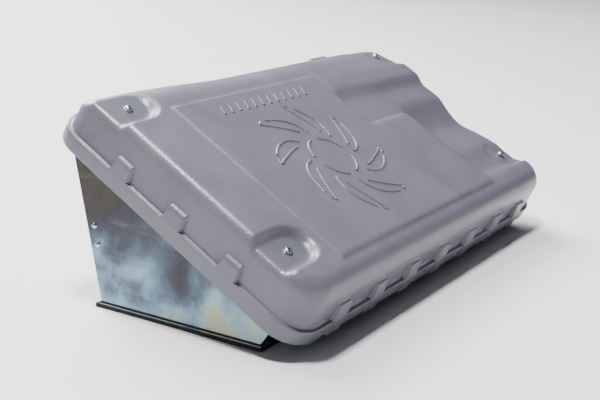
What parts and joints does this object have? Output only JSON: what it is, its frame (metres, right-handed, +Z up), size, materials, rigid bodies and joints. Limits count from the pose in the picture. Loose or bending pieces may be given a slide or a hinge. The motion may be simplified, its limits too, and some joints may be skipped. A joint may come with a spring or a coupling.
{
  "type": "cab climate unit",
  "caption": "Wedge-shaped cab heating and cooling unit: sloped moulded cover screwed to a folded sheet-steel case that holds coils and a double blower over a sealed base.",
  "frame": {"origin": "centre of the case's base, at the underside of its foam seal", "axes": "+X across the unit to the right as seen from the low front edge, +Y towards the tall back, +Z up"},
  "size_m": [0.72, 0.3803, 0.2622],
  "materials": {
    "cover_plastic": "vacuum-formed grey ABS, satin with a fine grain",
    "bright_zinc": "bright zinc plated",
    "foam": "closed-cell foam, matt",
    "zinc_steel": "sheet steel, zinc plated with a mottled iridescent passivation",
    "spring_steel": "phosphated spring steel",
    "fin_aluminium": "mill finish",
    "copper": "drawn copper tube, slightly tarnished",
    "black_plastic": "injection moulded, satin",
    "brass": "turned",
    "motor_steel": "black coated steel",
    "shaft_steel": "ground",
    "wheel_steel": "sheet steel, black electro-coated",
    "ceramic": "cast cement, matt",
    "ivory_plastic": "injection moulded, satin"
  },
  "bodies": {
    "case": {"base_seal": "foam", "base_plate": "zinc_steel", "panel_seal": "foam", "side_panel_left": "zinc_steel", "side_panel_right": "zinc_steel", "back_wall": "zinc_steel", "front_wall": "zinc_steel", "corner_brackets": "bright_zinc", "clip_nuts": "spring_steel", "case_rivets": "bright_zinc", "partition": "zinc_steel", "cooling_fins": "fin_aluminium", "cooling_tubes": "copper", "return_bends": "copper", "coil_end_plates": "zinc_steel", "heater_fins": "fin_aluminium", "heater_tubes": "copper", "heater_tanks": "black_plastic", "heater_pipes": "copper", "coil_pipes": "copper", "expansion_valve": "fin_aluminium", "valve_head": "brass", "suction_pipe": "copper", "liquid_pipe": "copper", "drain_pan": "black_plastic", "scroll_left": "black_plastic", "scroll_right": "black_plastic", "scroll_screws": "bright_zinc", "motor_can": "motor_steel", "motor_magnets": "motor_steel", "motor_bearings": "brass", "motor_stand": "zinc_steel", "motor_strap": "zinc_steel", "resistor_board": "ceramic", "wire_connector": "black_plastic", "thermostat": "ivory_plastic", "frost_probe": "copper"},
    "cover": {"cover": "cover_plastic", "cover_screws": "bright_zinc", "screw_washers": "bright_zinc"},
    "rotor": {"blower_shaft": "shaft_steel", "armature": "motor_steel", "wheel_left": "wheel_steel", "wheel_right": "wheel_steel", "blades_left": "wheel_steel", "blades_right": "wheel_steel", "wheel_rings": "wheel_steel", "hub_screws": "bright_zinc"}
  },
  "joints": [
    {"name": "blower_spin", "type": "hinge", "parent": "case", "child": "rotor", "pos_m": [0, 0.068, 0.128], "axis": [1, 0, 0], "continuous": true},
    {"name": "cover_lift", "type": "slide", "parent": "case", "child": "cover", "axis": [0, -0.5, 0.866], "range_m": [0, 0.16]}
  ]
}
